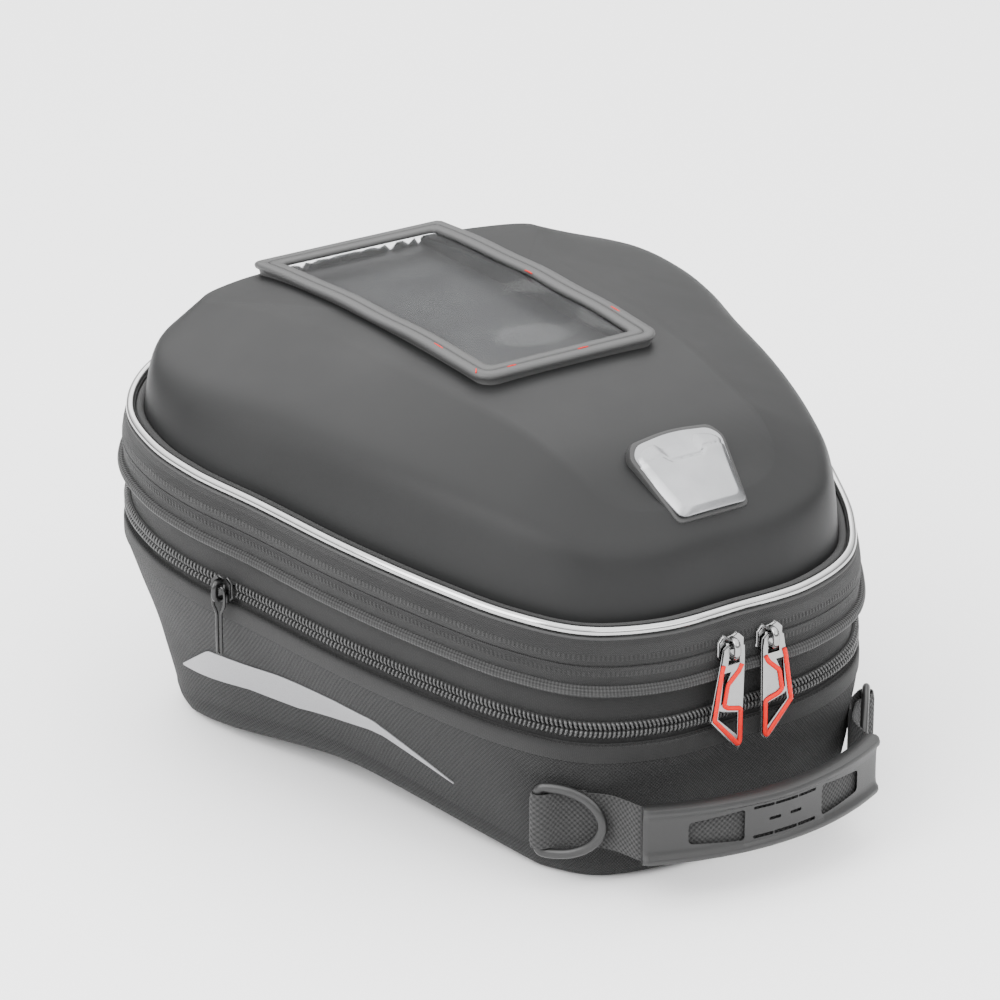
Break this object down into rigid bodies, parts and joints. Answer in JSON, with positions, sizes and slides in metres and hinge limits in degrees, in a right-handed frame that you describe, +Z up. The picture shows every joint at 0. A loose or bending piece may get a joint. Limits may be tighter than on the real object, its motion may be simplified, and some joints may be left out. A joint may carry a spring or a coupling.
{
  "type": "motorcycle tank bag",
  "caption": "Teardrop tank bag with hinged zip lid, expandable band, clear phone pocket, front grip and quick-release lock plate.",
  "frame": {"origin": "centre of the bag's plan at the lowest point of its base", "axes": "+Z up, +Y towards the broad rear end (the rider), -Y towards the grip at the narrow front end, +X to the bag's right seen from the grip"},
  "size_m": [0.3154, 0.3522, 0.196],
  "materials": {
    "ballistic_nylon": "coarse basket-weave nylon, matt black",
    "gusset_fabric": "thin coated nylon, folded away when closed",
    "webbing": "flat black webbing, ribbed weave",
    "zip_tape": "fine twill zip tape, matt black",
    "herringbone_tape": "herringbone twill, dark grey",
    "binding_tape": "folded ribbed binding, grey",
    "braided_trim": "braided cord piping, dark grey",
    "zip_coil": "nylon coil teeth, satin black",
    "rubberised_shell": "moulded shell with a soft rubberised face, matt dark grey",
    "pocket_rubber": "soft coated edge, matt black",
    "clear_window": "clear flexible film, slightly wavy",
    "silver_trim": "glossy silver plastic",
    "reflective_silver": "smooth reflective silver film",
    "badge_aluminium": "satin brushed, bevelled edge, blank",
    "slider_chrome": "polished",
    "black_metal": "black coated, semi-gloss",
    "steel": "zinc plated",
    "grip_rubber": "moulded soft grip, satin black",
    "ring_plastic": "moulded, fine matt grain",
    "lock_plastic": "moulded, fine grain",
    "board_plastic": "moulded board, matt black",
    "red_plastic": "moulded red, smooth"
  },
  "bodies": {
    "tub": {"tub_shell": "ballistic_nylon", "base_board": "board_plastic", "lock_plate": "lock_plastic", "lock_screw_1": "steel", "lock_screw_2": "steel", "lock_screw_3": "steel", "lock_screw_4": "steel", "bolt_spring_left": "steel", "bolt_spring_right": "steel", "expansion_tape_lower": "zip_tape", "expansion_coil_lower": "zip_coil", "stripe_left": "reflective_silver", "stripe_right": "reflective_silver", "strap_anchor_left": "webbing", "strap_anchor_right": "webbing"},
    "bolt": {"lock_bolt": "red_plastic"},
    "band": {"band_frame": "ballistic_nylon", "expansion_gusset": "gusset_fabric", "expansion_tape_upper": "zip_tape", "expansion_coil_upper": "zip_coil", "braided_piping": "braided_trim", "main_tape_lower": "herringbone_tape", "main_coil_lower": "zip_coil"},
    "lid": {"lid_shell": "rubberised_shell", "lid_frame": "board_plastic", "lid_binding": "binding_tape", "silver_piping": "silver_trim", "main_tape_upper": "herringbone_tape", "main_coil_upper": "zip_coil", "pocket_frame": "pocket_rubber", "pocket_window": "clear_window", "pocket_welt": "pocket_rubber", "badge_base": "board_plastic", "badge_plate": "badge_aluminium"},
    "slider_left": {"main_slider_left": "slider_chrome"},
    "slider_right": {"main_slider_right": "slider_chrome"},
    "pull_left": {"main_pull_left": "silver_trim", "main_pull_inlay_left": "red_plastic"},
    "pull_right": {"main_pull_right": "silver_trim", "main_pull_inlay_right": "red_plastic"},
    "side_slider": {"expansion_slider": "black_metal"},
    "side_pull": {"expansion_pull": "black_metal"},
    "ring_left": {"d_ring_left": "ring_plastic"},
    "ring_right": {"d_ring_right": "ring_plastic"},
    "handle": {"handle_strap": "webbing", "handle_grip": "grip_rubber"}
  },
  "joints": [
    {"name": "band_expansion", "type": "slide", "parent": "tub", "child": "band", "axis": [0, 0, 1], "range_m": [0, 0.04], "deforming": ["expansion_gusset"]},
    {"name": "lid_hinge", "type": "hinge", "parent": "band", "child": "lid", "pos_m": [0, 0.1737, 0.1515], "axis": [-1, 0, 0], "range_deg": [0, 95]},
    {"name": "main_slider_left_travel", "type": "slide", "parent": "band", "child": "slider_left", "axis": [-1, 0, 0], "range_m": [0, 0.025]},
    {"name": "main_slider_right_travel", "type": "slide", "parent": "band", "child": "slider_right", "axis": [1, 0, 0], "range_m": [0, 0.02]},
    {"name": "pull_left_swing", "type": "hinge", "parent": "slider_left", "child": "pull_left", "pos_m": [-0.0075, -0.1461, 0.1019], "axis": [-1, 0, 0], "range_deg": [0, 150]},
    {"name": "pull_right_swing", "type": "hinge", "parent": "slider_right", "child": "pull_right", "pos_m": [0.013, -0.1461, 0.1019], "axis": [-1, 0, 0], "range_deg": [0, 150]},
    {"name": "side_slider_travel", "type": "slide", "parent": "band", "child": "side_slider", "axis": [0.2884, -0.9455, -0.1513], "range_m": [0, 0.04]},
    {"name": "side_pull_swing", "type": "hinge", "parent": "side_slider", "child": "side_pull", "pos_m": [-0.151, 0.0339, 0.1005], "axis": [-0.3271, 0.945, 0], "range_deg": [0, 150]},
    {"name": "ring_left_swing", "type": "hinge", "parent": "tub", "child": "ring_left", "pos_m": [-0.088, -0.1186, 0.0332], "axis": [0, 0, -1], "range_deg": [0, 95]},
    {"name": "ring_right_swing", "type": "hinge", "parent": "tub", "child": "ring_right", "pos_m": [0.088, -0.1186, 0.0332], "axis": [0, 0, 1], "range_deg": [0, 95]},
    {"name": "handle_swing", "type": "hinge", "parent": "tub", "child": "handle", "pos_m": [0, -0.1386, 0.0332], "axis": [-1, 0, 0], "range_deg": [-20, 35]},
    {"name": "bolt_travel", "type": "slide", "parent": "tub", "child": "bolt", "axis": [0, -1, 0], "range_m": [0, 0.004], "stiffness_N_per_m": 400, "springref_m": -0.003, "deforming": ["bolt_spring_left", "bolt_spring_right"]}
  ]
}
